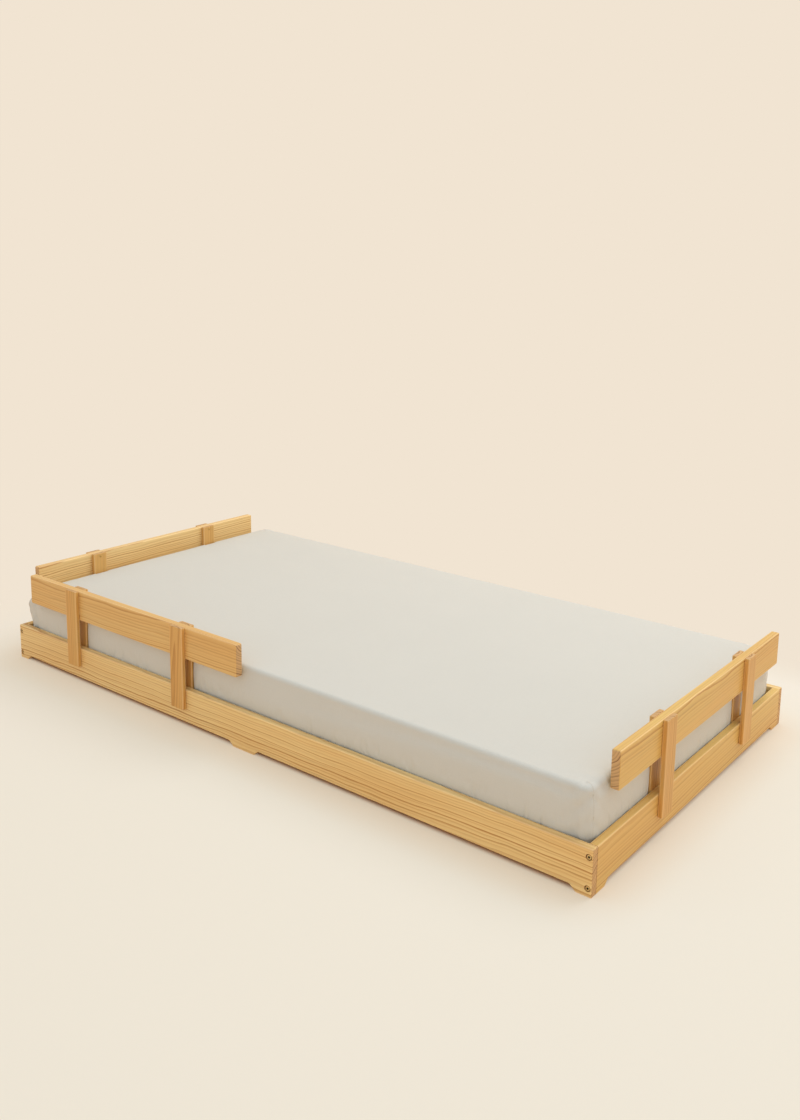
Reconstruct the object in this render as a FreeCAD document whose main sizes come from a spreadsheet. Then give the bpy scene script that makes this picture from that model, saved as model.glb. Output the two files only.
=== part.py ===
"""Toddler floor bed: a low pine frame, three lift-off guards, and a mattress in its fitted sheet.

Millimetres, +Z up. X runs from the head (-X) to the foot (+X), and the front long side is at -Y. The origin
is the middle of the whole bed's outline on the floor.
"""

import FreeCAD, Part
import Sketcher
import os
from FreeCAD import Placement, Rotation, Vector

# Driving dimensions, in millimetres, apart from the counts. Everything else is worked out from these.
DRIVING = {
    # frame of four rails
    "bed_length": 1950,
    "bed_width": 1035,
    "rail_thickness": 19,
    "rail_height": 103,
    "foot_height": 13,
    "corner_foot": 36,
    "middle_foot": 74,
    "foot_ramp": 14,
    "foot_curve": 7,
    "corner_round": 3,
    "edge_round": 2.2,
    # cleats inside the rails, and the slats on them
    "cleat_width": 38,
    "cleat_height": 37,
    "side_cleat_setback": 45,
    "end_cleat_setback": 60,
    "cleat_screw_height": 12,
    "slat_count": 14,
    "slat_width": 75,
    "slat_thickness": 15,
    "slat_end_clearance": 2,
    "slat_round": 1.5,
    # guards that slip over the rails
    "guard_length": 884,
    "guard_height": 85,
    "guard_top": 272,
    "guard_slip": 0.3,
    "guard_corner": 5,
    "front_guard_setback": 71,
    "foot_guard_shift": 18,
    "head_guard_shift": 14,
    "upright_width": 48,
    "upright_thickness": 12,
    "upright_spacing": 454,
    "guard_screw_inset": 10.5,
    # mattress and fitted sheet
    "mattress_height": 148,
    "mattress_gap": 3.2,
    "mattress_corner": 45,
    "mattress_edge": 20,
    "sheet_thickness": 1,
    "sheet_gap": 0.4,
    "sheet_hem": 90,
    "soft_clearance": 0.3,
    # corner bolts and barrel nuts
    "bolt_diameter": 6,
    "bolt_length": 50,
    "bolt_head": 10,
    "bolt_head_height": 6,
    "bolt_socket": 5,
    "bolt_socket_depth": 3.6,
    "bolt_bevel": 0.625,
    "counterbore": 14,
    "counterbore_depth": 7,
    "bolt_low": 18,
    "bolt_high": 84.5,
    "barrel_diameter": 10,
    "barrel_length": 13,
    "barrel_inset": 30,
    "barrel_slot": 1.25,
    # wood screws
    "screw_diameter": 4,
    "screw_head": 8,
    "screw_rim": 0.3,
    "screw_recess": 4.8,
    "screw_recess_slot": 1.12,
    "screw_recess_depth": 2,
    "guard_screw": 40,
    "cleat_screw": 50,
    "slat_screw": 30,
    "side_screw_count": 7,
    "end_screw_count": 3,
    # clearance of fasteners in drilled wood, all round, and past their tips
    "drill_clearance": 0.2,
    "thread_clearance": 0.05,
    "tip_clearance": 1.5,
}

X_AXIS = Vector(1, 0, 0)
Z_AXIS = Vector(0, 0, 1)
# Which way each origin plane faces along its own axis.
PLANE_FACES = {"XY_Plane": 1, "XZ_Plane": -1, "YZ_Plane": 1}
# Two places nearer than this count as one, in millimetres.
FLUSH = 1e-3
SINK_ANGLE = 90
FULL_TURN = 360

doc = FreeCAD.newDocument("toddler_floor_bed")
sheet = doc.addObject("Spreadsheet::Sheet", "Sizes")
for row, (name, value) in enumerate(DRIVING.items(), 1):
    sheet.set(f"A{row}", name)
    sheet.set(f"B{row}", str(value))
    sheet.setAlias(f"B{row}", name)
doc.recompute()


class Size:
    """A length that carries both its number and the sheet expression that it is worked out from."""

    def __init__(self, value, text):
        self.value = value
        self.text = text

    def __add__(self, other):
        other = as_size(other)
        return Size(self.value + other.value, f"({self.text} + {other.text})")

    def __sub__(self, other):
        other = as_size(other)
        return Size(self.value - other.value, f"({self.text} - {other.text})")

    def __mul__(self, other):
        other = as_size(other)
        return Size(self.value * other.value, f"({self.text} * {other.text})")

    def __truediv__(self, other):
        other = as_size(other)
        return Size(self.value / other.value, f"({self.text} / {other.text})")

    def __neg__(self):
        return as_size(0) - self

    def __radd__(self, other):
        return as_size(other) + self

    def __rsub__(self, other):
        return as_size(other) - self

    def __rmul__(self, other):
        return as_size(other) * self


def as_size(number):
    return number if isinstance(number, Size) else Size(float(number), str(float(number)))


class Sheet:
    """The sheet's cells as attributes, such as cell.bed_length."""

    def __getattr__(self, name):
        return Size(float(sheet.get(name)), f"Sizes.{name}")


cell = Sheet()


def count(size):
    return int(round(size.value))


def spread(number, half_length):
    """number places along a line from -half_length to half_length, both ends included; one in its middle."""
    if number == 1:
        return [as_size(0)]
    return [half_length * (2 * i / (number - 1) - 1) for i in range(number)]


# Lengths that several pieces share.
GUARD_REACH = cell.guard_slip + cell.upright_thickness
DEPTH_SHIFT = GUARD_REACH / 2
INNER_LENGTH = cell.bed_length - 2 * cell.rail_thickness
INNER_WIDTH = cell.bed_width - 2 * cell.rail_thickness
CLEAT_TOP = cell.foot_height + cell.cleat_height
SLAT_TOP = CLEAT_TOP + cell.slat_thickness
SLAT_SETBACK = GUARD_REACH + cell.slat_end_clearance
SHEET_WRAP = cell.sheet_gap + cell.sheet_thickness
MATTRESS_BOTTOM = SLAT_TOP + cell.soft_clearance + SHEET_WRAP
GUARD_BOTTOM = cell.guard_top - cell.guard_height
BOLT_HEIGHTS = (cell.bolt_low, cell.bolt_high)
SCREW_HOLE = cell.screw_diameter + 2 * cell.drill_clearance
SCREW_SINK = cell.screw_head + 2 * (cell.screw_rim + cell.drill_clearance)
BOLT_HOLE = cell.bolt_diameter + 2 * cell.drill_clearance
BOLT_REACH = cell.counterbore_depth + cell.bolt_length - cell.rail_thickness


class Side:
    """One side of the bed. Its own x runs along the rail, and its y inwards from the rail's outer face."""

    def __init__(self, angle, x, y):
        self.angle = angle
        self.x = as_size(x)
        self.y = as_size(y)

    def at(self, along, inward):
        """The point of the bed's plan at these places along and inwards from this side's rail."""
        turned = {
            0: (along, inward),
            90: (-inward, along),
            180: (-along, -inward),
            270: (inward, -along),
        }[self.angle]
        return self.x + turned[0], self.y + turned[1]

    def placement(self, along, inward, height, turn=Rotation()):
        x, y = self.at(as_size(along), as_size(inward))
        place = Vector(x.value, y.value, as_size(height).value)
        return Placement(place, Rotation(Z_AXIS, self.angle) * turn)


SIDES = {
    "front": Side(0, 0, DEPTH_SHIFT - cell.bed_width / 2),
    "foot": Side(90, cell.bed_length / 2, DEPTH_SHIFT),
    "back": Side(180, 0, DEPTH_SHIFT + cell.bed_width / 2),
    "head": Side(270, -cell.bed_length / 2, DEPTH_SHIFT),
}
LONG_SIDES = ("front", "back")
END_SIDES = ("head", "foot")
# How far each guard's middle stands from the middle of its rail.
GUARD_SHIFTS = {
    "front": cell.front_guard_setback + (cell.guard_length - cell.bed_length) / 2,
    "head": cell.head_guard_shift,
    "foot": cell.foot_guard_shift,
}


def bind(thing, prop, size):
    thing.setExpression(prop, as_size(size).text)


def seat(thing, side, along, inward, height):
    """Places a body on a side of the bed, bound to the sheet."""
    thing.Placement = side.placement(along, inward, height)
    x, y = side.at(as_size(along), as_size(inward))
    for axis, size in zip("xyz", (x, y, height)):
        bind(thing, f"Placement.Base.{axis}", size)


def new_body(label):
    body = doc.addObject("PartDesign::Body", label)
    body.Label = label
    return body


def new_sketch(body, role, level=0):
    """A sketch on one of the body's own origin planes, moved along that plane's axis to level."""
    plane = next(p for p in body.Origin.OriginFeatures if p.Role == role)
    sketch = body.newObject("Sketcher::SketchObject", f"{body.Label}_sketch")
    sketch.AttachmentSupport = (plane, [""])
    sketch.MapMode = "FlatFace"
    bind(sketch, "AttachmentOffset.Base.z", PLANE_FACES[role] * as_size(level))
    return sketch


def pin_point(sketch, curve, end, across, up):
    """Ties one point of a sketch curve to its place from the sketch's origin."""
    for kind, size in (("DistanceX", across), ("DistanceY", up)):
        size = as_size(size)
        number = sketch.addConstraint(Sketcher.Constraint(kind, -1, 1, curve, end, size.value))
        bind(sketch, f"Constraints[{number}]", size)


def draw_outline(sketch, corners):
    """A closed loop of straight lines through the corners."""
    points = [Vector(as_size(a).value, as_size(b).value, 0) for a, b in corners]
    first = sketch.GeometryCount
    total = len(points)
    for i in range(total):
        sketch.addGeometry(Part.LineSegment(points[i], points[(i + 1) % total]))
    for i in range(total):
        following = first + (i + 1) % total
        sketch.addConstraint(Sketcher.Constraint("Coincident", first + i, 2, following, 1))
    for i, (across, up) in enumerate(corners):
        pin_point(sketch, first + i, 1, across, up)


def rectangle(x0, x1, y0, y1):
    return [(x0, y0), (x1, y0), (x1, y1), (x0, y1)]


def pad(body, role, corners, thickness, toward=1):
    """A board: the outline drawn on an origin plane, thickened towards +1 or -1 of that plane's axis."""
    sketch = new_sketch(body, role)
    draw_outline(sketch, corners)
    feature = body.newObject("PartDesign::Pad", f"{body.Label}_pad")
    feature.Profile = sketch
    bind(feature, "Length", thickness)
    feature.Reversed = toward != PLANE_FACES[role]
    doc.recompute()
    return feature


def round_edges(body, feature, chosen, radius):
    """Rounds those edges of the feature for which chosen(edge) is true."""
    edges = [f"Edge{i}" for i, edge in enumerate(feature.Shape.Edges, 1) if chosen(edge)]
    fillet = body.newObject("PartDesign::Fillet", f"{body.Label}_round")
    fillet.Base = (feature, edges)
    bind(fillet, "Radius", radius)
    doc.recompute()
    return fillet


def runs_along(edge, axis):
    """Whether a straight edge runs along x, y or z."""
    box = edge.BoundBox
    spans = {"x": box.XLength, "y": box.YLength, "z": box.ZLength}
    return all((length > FLUSH) == (name == axis) for name, length in spans.items())


def drill(body, role, level, toward, points, diameter, depth=None, sink=None, bore=None):
    """Round holes from a plane at level towards +1 or -1 of its axis: through, or blind where depth is given.

    sink is a countersink's mouth, and bore is a counterbore's (diameter, depth).
    """
    sketch = new_sketch(body, role, level)
    for x, y in points:
        place = Vector(as_size(x).value, as_size(y).value, 0)
        number = sketch.addGeometry(Part.Circle(place, Z_AXIS, diameter.value / 2))
        pin_point(sketch, number, 3, x, y)
        ring = sketch.addConstraint(Sketcher.Constraint("Diameter", number, diameter.value))
        bind(sketch, f"Constraints[{ring}]", diameter)
    doc.recompute()
    before = body.Shape.Volume
    hole = body.newObject("PartDesign::Hole", f"{body.Label}_hole")
    hole.Profile = sketch
    doc.recompute()
    hole.DrillPoint = "Flat"
    hole.Reversed = toward == PLANE_FACES[role]
    bind(hole, "Diameter", diameter)
    hole.DepthType = "ThroughAll" if depth is None else "Dimension"
    if depth is not None:
        bind(hole, "Depth", depth)
    if sink is not None:
        hole.HoleCutType = "Countersink"
        hole.HoleCutCustomValues = True
        bind(hole, "HoleCutDiameter", sink)
        hole.HoleCutCountersinkAngle = SINK_ANGLE
    if bore is not None:
        hole.HoleCutType = "Counterbore"
        hole.HoleCutCustomValues = True
        bind(hole, "HoleCutDiameter", bore[0])
        bind(hole, "HoleCutDepth", bore[1])
    doc.recompute()
    if not body.Shape.Volume < before:
        raise ValueError(f"the holes in {body.Label} remove nothing")


def group(label, pattern, placements):
    """Several equal fasteners in one node, each its own solid."""
    node = doc.addObject("Part::Feature", label)
    node.Label = label
    copies = []
    for placement in placements:
        copy = pattern.Shape.copy()
        copy.Placement = placement
        copies.append(copy)
    node.Shape = Part.makeCompound(copies)
    return node


# ---------------------------------------------------------------- rails


def rail_outline(half, middle_foot):
    """The rail's face: straight on top, cut out below between its end feet and a long rail's middle foot."""
    cut = cell.foot_height
    foot = half - cell.corner_foot
    ramp = foot - cell.foot_ramp
    lower = [(-half, 0), (-foot, 0), (-ramp, cut)]
    if middle_foot:
        flat = cell.middle_foot / 2
        step = flat + cell.foot_ramp
        lower += [(-step, cut), (-flat, 0), (flat, 0), (step, cut)]
    return lower + [(ramp, cut), (foot, 0), (half, 0), (half, cell.rail_height), (-half, cell.rail_height)]


def make_rail(label, half, middle_foot):
    """A rail in its side's frame, with the curves of its feet. Returns the body and its last feature."""
    body = new_body(label)
    blank = pad(body, "XZ_Plane", rail_outline(half, middle_foot), cell.rail_thickness)
    reach = half.value - cell.corner_foot.value / 2

    def at_foot_curve(edge):
        low = edge.BoundBox.ZMax < cell.foot_height.value + FLUSH
        return runs_along(edge, "y") and low and abs(edge.BoundBox.XMin) < reach

    curved = round_edges(body, blank, at_foot_curve, cell.foot_curve)
    return body, curved


def is_face_edge(edge, thickness):
    """Whether an edge lies in one of a board's two wide faces, at y = 0 or y = thickness."""
    box = edge.BoundBox
    return box.YLength < FLUSH and min(abs(box.YMin), abs(box.YMin - thickness)) < FLUSH


def make_side_rail(name):
    half = cell.bed_length / 2
    body, curved = make_rail(f"{name}_side_rail", half, True)

    def at_end(edge):
        return runs_along(edge, "y") and abs(edge.BoundBox.XMin) > half.value - FLUSH

    ended = round_edges(body, curved, at_end, cell.corner_round)
    thickness = cell.rail_thickness
    round_edges(body, ended, lambda edge: is_face_edge(edge, thickness.value), cell.edge_round)
    corner = half - thickness / 2
    bolts = [(sign * corner, height) for sign in (-1, 1) for height in BOLT_HEIGHTS]
    drill(body, "XZ_Plane", 0, 1, bolts, BOLT_HOLE, bore=(cell.counterbore, cell.counterbore_depth))
    drill_for_cleat(body, cleat_screw_places(name))
    seat(body, SIDES[name], 0, 0, 0)


def make_end_rail(name):
    half = INNER_WIDTH / 2
    body, curved = make_rail(f"{name}_rail", half, False)
    thickness = cell.rail_thickness

    def is_long_edge(edge):
        return is_face_edge(edge, thickness.value) and not runs_along(edge, "z")

    round_edges(body, curved, is_long_edge, cell.edge_round)
    bolts = [(thickness / 2, height) for height in BOLT_HEIGHTS]
    depth = BOLT_REACH + cell.tip_clearance
    drill(body, "YZ_Plane", -half, 1, bolts, BOLT_HOLE, depth=depth)
    drill(body, "YZ_Plane", half, -1, bolts, BOLT_HOLE, depth=depth)
    inset = half - cell.barrel_inset
    barrels = [(sign * inset, height) for sign in (-1, 1) for height in BOLT_HEIGHTS]
    width = cell.barrel_diameter + 2 * cell.drill_clearance
    depth = (thickness + cell.barrel_length) / 2 + cell.drill_clearance
    drill(body, "XZ_Plane", thickness, -1, barrels, width, depth=depth)
    drill_for_cleat(body, cleat_screw_places(name))
    seat(body, SIDES[name], 0, 0, 0)


# ---------------------------------------------------------------- cleats and slats


def cleat_half(name):
    if name in LONG_SIDES:
        return INNER_LENGTH / 2 - cell.side_cleat_setback
    return INNER_WIDTH / 2 - cell.end_cleat_setback


def cleat_screw_places(name):
    """Where the screws stand in a cleat's inner face: along the cleat, and up from the floor."""
    number = count(cell.side_screw_count if name in LONG_SIDES else cell.end_screw_count)
    reach = cleat_half(name) - cell.cleat_width
    return [(x, cell.foot_height + cell.cleat_screw_height) for x in spread(number, reach)]


def drill_for_cleat(body, places):
    depth = cell.cleat_screw - cell.cleat_width + cell.tip_clearance
    drill(body, "XZ_Plane", cell.rail_thickness, -1, places, SCREW_HOLE, depth=depth)


def slat_centres():
    """The slats' centres along the bed, with equal gaps between them and to the end rails."""
    number = count(cell.slat_count)
    gap = (INNER_LENGTH - number * cell.slat_width) / (number + 1)
    pitch = gap + cell.slat_width
    return [pitch * (i - (number - 1) / 2) for i in range(number)]


# How far the slat screws stand in from a long rail's inner face: amid the slat's seat on the cleat.
SLAT_SCREW_INSET = (SLAT_SETBACK + cell.cleat_width) / 2


def make_cleat(name):
    half = cleat_half(name)
    body = new_body(f"{name}_cleat")
    back = cell.rail_thickness
    outline = rectangle(-half, half, cell.foot_height, CLEAT_TOP)
    blank = pad(body, "XZ_Plane", outline, cell.cleat_width)
    width = cell.cleat_width.value

    def is_room_edge(edge):
        return edge.BoundBox.YMin > width - FLUSH

    round_edges(body, blank, is_room_edge, cell.slat_round)
    drill(body, "XZ_Plane", cell.cleat_width, -1, cleat_screw_places(name), SCREW_HOLE, sink=SCREW_SINK)
    if name in LONG_SIDES:
        places = [(x, SLAT_SCREW_INSET) for x in slat_centres()]
        depth = cell.slat_screw - cell.slat_thickness + cell.tip_clearance
        drill(body, "XY_Plane", CLEAT_TOP, -1, places, SCREW_HOLE, depth=depth)
    seat(body, SIDES[name], 0, back, 0)


def make_slat(number, centre):
    body = new_body(f"slat_{number:02d}")
    across = cell.slat_width / 2
    half = INNER_WIDTH / 2 - SLAT_SETBACK
    blank = pad(body, "XY_Plane", rectangle(-across, across, -half, half), cell.slat_thickness)
    round_edges(body, blank, lambda edge: True, cell.slat_round)
    inset = INNER_WIDTH / 2 - SLAT_SCREW_INSET
    places = [(0, -inset), (0, inset)]
    drill(body, "XY_Plane", cell.slat_thickness, -1, places, SCREW_HOLE, sink=SCREW_SINK)
    for axis, size in zip("xyz", (centre, DEPTH_SHIFT, CLEAT_TOP)):
        bind(body, f"Placement.Base.{axis}", size)


# ---------------------------------------------------------------- guards


def guard_screw_heights():
    return (GUARD_BOTTOM + cell.guard_screw_inset, cell.guard_top - cell.guard_screw_inset)


def make_guard_board(name):
    """The guard's board, as thick as the rail and the slip on both its faces."""
    body = new_body(f"{name}_guard_board")
    half = cell.guard_length / 2
    thickness = cell.rail_thickness + 2 * cell.guard_slip
    outline = rectangle(-half, half, GUARD_BOTTOM, cell.guard_top)
    blank = pad(body, "XZ_Plane", outline, thickness)
    cornered = round_edges(body, blank, lambda edge: runs_along(edge, "y"), cell.guard_corner)
    round_edges(body, cornered, lambda edge: is_face_edge(edge, thickness.value), cell.edge_round)
    uprights = (-cell.upright_spacing / 2, cell.upright_spacing / 2)
    places = [(x, height) for x in uprights for height in guard_screw_heights()]
    drill(body, "XZ_Plane", thickness, -1, places, SCREW_HOLE)
    seat(body, SIDES[name], GUARD_SHIFTS[name], -cell.guard_slip, 0)


def make_upright(name, row, which, sign):
    """One upright. The outer ones take the screws' tips, and the inner ones their heads."""
    body = new_body(f"{name}_guard_{row}_upright_{which}")
    half = cell.upright_width / 2
    outline = rectangle(-half, half, CLEAT_TOP, cell.guard_top)
    blank = pad(body, "XZ_Plane", outline, cell.upright_thickness)
    round_edges(body, blank, lambda edge: True, cell.edge_round)
    places = [(0, height) for height in guard_screw_heights()]
    if row == "outer":
        inward = -GUARD_REACH
        board = cell.rail_thickness + 2 * cell.guard_slip
        depth = cell.guard_screw - cell.upright_thickness - board + cell.tip_clearance
        drill(body, "XZ_Plane", cell.upright_thickness, -1, places, SCREW_HOLE, depth=depth)
    else:
        inward = cell.rail_thickness + cell.guard_slip
        drill(body, "XZ_Plane", cell.upright_thickness, -1, places, SCREW_HOLE, sink=SCREW_SINK)
    along = GUARD_SHIFTS[name] + sign * cell.upright_spacing / 2
    seat(body, SIDES[name], along, inward, 0)


def make_guard(name):
    make_guard_board(name)
    for which, sign in (("a", -1), ("b", 1)):
        make_upright(name, "outer", which, sign)
        make_upright(name, "inner", which, sign)


# ---------------------------------------------------------------- mattress and sheet


def groove_outline(name, sign, room):
    """The plan of the groove that an inner upright presses into the mattress, with room round the upright."""
    side = SIDES[name]
    middle = GUARD_SHIFTS[name] + sign * cell.upright_spacing / 2
    reach = cell.upright_width / 2 + room
    inner = cell.rail_thickness + GUARD_REACH + room
    plan = rectangle(middle - reach, middle + reach, cell.rail_thickness, inner)
    return [side.at(along, inward) for along, inward in plan]


def make_soft_block(label, grow):
    """The mattress's form, larger by grow all round, with grooves for the guards' inner uprights."""
    body = new_body(label)
    half_x = INNER_LENGTH / 2 - cell.mattress_gap + grow
    half_y = INNER_WIDTH / 2 - cell.mattress_gap + grow
    plan = rectangle(-half_x, half_x, DEPTH_SHIFT - half_y, DEPTH_SHIFT + half_y)
    height = cell.mattress_height + 2 * grow
    blank = pad(body, "XY_Plane", plan, height)
    cornered = round_edges(body, blank, lambda edge: runs_along(edge, "z"), cell.mattress_corner + grow)

    def is_rim(edge):
        return edge.BoundBox.ZLength < FLUSH

    round_edges(body, cornered, is_rim, cell.mattress_edge + grow)
    grooves = new_sketch(body, "XY_Plane")
    for name in GUARD_SHIFTS:
        for sign in (-1, 1):
            draw_outline(grooves, groove_outline(name, sign, cell.soft_clearance + SHEET_WRAP - grow))
    cut = body.newObject("PartDesign::Pocket", f"{label}_grooves")
    cut.Profile = grooves
    cut.Type = "ThroughAll"
    cut.Reversed = True
    doc.recompute()
    bind(body, "Placement.Base.z", MATTRESS_BOTTOM - grow)
    return body


def make_fitted_sheet():
    """The sheet's shell, open underneath inside its hem."""
    outer = make_soft_block("sheet_outside", SHEET_WRAP)
    inner = make_soft_block("sheet_inside", cell.sheet_gap)
    shell = doc.addObject("Part::Cut", "sheet_shell")
    shell.Base = outer
    shell.Tool = inner
    opening = doc.addObject("Part::Box", "sheet_opening")
    inset = cell.mattress_gap + cell.sheet_hem
    bind(opening, "Length", INNER_LENGTH - 2 * inset)
    bind(opening, "Width", INNER_WIDTH - 2 * inset)
    bind(opening, "Height", cell.mattress_height / 2)
    bind(opening, "Placement.Base.x", inset - INNER_LENGTH / 2)
    bind(opening, "Placement.Base.y", inset - INNER_WIDTH / 2 + DEPTH_SHIFT)
    bind(opening, "Placement.Base.z", SLAT_TOP)
    fitted = doc.addObject("Part::Cut", "fitted_sheet")
    fitted.Label = "fitted_sheet"
    fitted.Base = shell
    fitted.Tool = opening


# ---------------------------------------------------------------- fasteners


def make_wood_screw(label, length):
    """A countersunk wood screw with a cross recess: its head's face at z = 0, and its tip at z = length."""
    body = new_body(label)
    head = cell.screw_head / 2
    shank = cell.screw_diameter / 2
    neck = cell.screw_rim + head - shank
    sketch = new_sketch(body, "XZ_Plane")
    draw_outline(
        sketch,
        [(0, 0), (head, 0), (head, cell.screw_rim), (shank, neck), (shank, length - 2 * shank), (0, length)],
    )
    turned = body.newObject("PartDesign::Revolution", f"{label}_turned")
    turned.Profile = sketch
    turned.ReferenceAxis = (sketch, ["V_Axis"])
    turned.Angle = FULL_TURN
    doc.recompute()
    arm = cell.screw_recess
    width = cell.screw_recess_slot
    for across, along in ((arm, width), (width, arm)):
        slot = body.newObject("PartDesign::SubtractiveBox", f"{label}_slot")
        bind(slot, "Length", across)
        bind(slot, "Width", along)
        bind(slot, "Height", cell.screw_recess_depth)
        bind(slot, "AttachmentOffset.Base.x", -across / 2)
        bind(slot, "AttachmentOffset.Base.y", -along / 2)
        doc.recompute()
    return body


def make_corner_bolt():
    """A socket cap bolt: its head's outer face at z = 0, and its tip at z = head height + length."""
    body = new_body("corner_bolt")
    head = cell.bolt_head / 2
    shank = cell.bolt_diameter / 2
    bevel = cell.bolt_bevel
    tip = cell.bolt_head_height + cell.bolt_length
    sketch = new_sketch(body, "XZ_Plane")
    draw_outline(
        sketch,
        [
            (0, 0),
            (head - bevel, 0),
            (head, bevel),
            (head, cell.bolt_head_height),
            (shank, cell.bolt_head_height),
            (shank, tip - bevel),
            (shank - bevel, tip),
            (0, tip),
        ],
    )
    turned = body.newObject("PartDesign::Revolution", "corner_bolt_turned")
    turned.Profile = sketch
    turned.ReferenceAxis = (sketch, ["V_Axis"])
    turned.Angle = FULL_TURN
    doc.recompute()
    socket = body.newObject("PartDesign::SubtractivePrism", "corner_bolt_socket")
    socket.Polygon = 6
    bind(socket, "Circumradius", cell.bolt_socket / 3**0.5)
    bind(socket, "Height", cell.bolt_socket_depth)
    doc.recompute()
    return body


def make_barrel_nut():
    """A cross dowel: a plug along z with a cross hole along x for the bolt, and a slot to turn it by."""
    body = new_body("barrel_nut")
    plug = body.newObject("PartDesign::AdditiveCylinder", "barrel_nut_plug")
    bind(plug, "Radius", cell.barrel_diameter / 2)
    bind(plug, "Height", cell.barrel_length)
    doc.recompute()
    slot = body.newObject("PartDesign::SubtractiveBox", "barrel_nut_slot")
    width = cell.barrel_slot
    bind(slot, "Length", cell.barrel_diameter)
    bind(slot, "Width", width)
    bind(slot, "Height", width)
    bind(slot, "AttachmentOffset.Base.x", -cell.barrel_diameter / 2)
    bind(slot, "AttachmentOffset.Base.y", -width / 2)
    bind(slot, "AttachmentOffset.Base.z", cell.barrel_length - width)
    doc.recompute()
    thread = cell.bolt_diameter + 2 * cell.thread_clearance
    half = cell.barrel_diameter / 2
    drill(body, "YZ_Plane", -half, 1, [(0, cell.barrel_length / 2)], thread)
    return body


INWARD = Rotation(X_AXIS, -90)
OUTWARD = Rotation(X_AXIS, 90)
DOWNWARD = Rotation(X_AXIS, 180)


def place_corner_bolts():
    corner = (cell.bed_length - cell.rail_thickness) / 2
    depth = cell.counterbore_depth - cell.bolt_head_height
    return [
        SIDES[name].placement(sign * corner, depth, height, INWARD)
        for name in LONG_SIDES
        for sign in (-1, 1)
        for height in BOLT_HEIGHTS
    ]


def place_barrel_nuts():
    inset = INNER_WIDTH / 2 - cell.barrel_inset
    depth = (cell.rail_thickness - cell.barrel_length) / 2
    return [
        SIDES[name].placement(sign * inset, depth, height, INWARD)
        for name in END_SIDES
        for sign in (-1, 1)
        for height in BOLT_HEIGHTS
    ]


def place_cleat_screws():
    face = cell.rail_thickness + cell.cleat_width
    return [
        side.placement(along, face, height, OUTWARD)
        for name, side in SIDES.items()
        for along, height in cleat_screw_places(name)
    ]


def place_slat_screws():
    inset = cell.rail_thickness + SLAT_SCREW_INSET
    return [
        SIDES[name].placement(along, inset, SLAT_TOP, DOWNWARD)
        for name in LONG_SIDES
        for along in slat_centres()
    ]


def place_guard_screws(name):
    face = cell.rail_thickness + GUARD_REACH
    return [
        SIDES[name].placement(GUARD_SHIFTS[name] + sign * cell.upright_spacing / 2, face, height, OUTWARD)
        for sign in (-1, 1)
        for height in guard_screw_heights()
    ]


# ---------------------------------------------------------------- the bed


def make_bed():
    for name in LONG_SIDES:
        make_side_rail(name)
    for name in END_SIDES:
        make_end_rail(name)
    for name in SIDES:
        make_cleat(name)
    for number, centre in enumerate(slat_centres(), 1):
        make_slat(number, centre)
    for name in GUARD_SHIFTS:
        make_guard(name)
    make_soft_block("mattress", 0)
    make_fitted_sheet()
    doc.recompute()
    group("corner_bolts", make_corner_bolt(), place_corner_bolts())
    group("barrel_nuts", make_barrel_nut(), place_barrel_nuts())
    group("cleat_screws", make_wood_screw("cleat_screw", cell.cleat_screw), place_cleat_screws())
    group("slat_screws", make_wood_screw("slat_screw", cell.slat_screw), place_slat_screws())
    guard_screw = make_wood_screw("guard_screw", cell.guard_screw)
    for name in GUARD_SHIFTS:
        group(f"{name}_guard_screws", guard_screw, place_guard_screws(name))
    doc.recompute()


# Objects that only shape others, and are no piece of the bed.
HELPERS = {"sheet_outside", "sheet_inside", "sheet_shell", "sheet_opening"}
HELPERS |= {"corner_bolt", "barrel_nut", "cleat_screw", "slat_screw", "guard_screw"}
PIECE_TYPES = ("PartDesign::Body", "Part::Cut", "Part::Feature")


def export_pieces():
    for thing in doc.Objects:
        if {"Invalid", "Error"} & set(thing.State):
            raise ValueError(f"{thing.Label} failed: {thing.State}")
    pieces = [o for o in doc.Objects if o.TypeId in PIECE_TYPES and o.Label not in HELPERS]
    for piece in pieces:
        if piece.Shape.isNull() or not piece.Shape.isValid() or not piece.Shape.Solids:
            raise ValueError(f"{piece.Label} has no valid solid")
    os.makedirs("parts", exist_ok=True)
    for piece in pieces:
        piece.Shape.exportStep(f"parts/{piece.Label}.step")
        print(f"{piece.Label}: {len(piece.Shape.Solids)} solids, {piece.Shape.Volume / 1000:.1f} cm3")
    print(f"{len(pieces)} nodes")


make_bed()
export_pieces()
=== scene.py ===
# %% [markdown]
# # A toddler floor bed
#
# The bed is a low pine frame on cut-out feet. Three guard boards slip over its rails, and a foam mattress
# in a pale grey fitted sheet lies inside. The boards, slats and cleats already have their real shapes in
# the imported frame, so here they only get their wood. The soft goods and the fasteners are made here.

# %% Load the frame
import math

import bmesh
import bpy
import numpy as np
from mathutils import Matrix, Vector
from mathutils.noise import noise as smooth_noise


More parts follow.
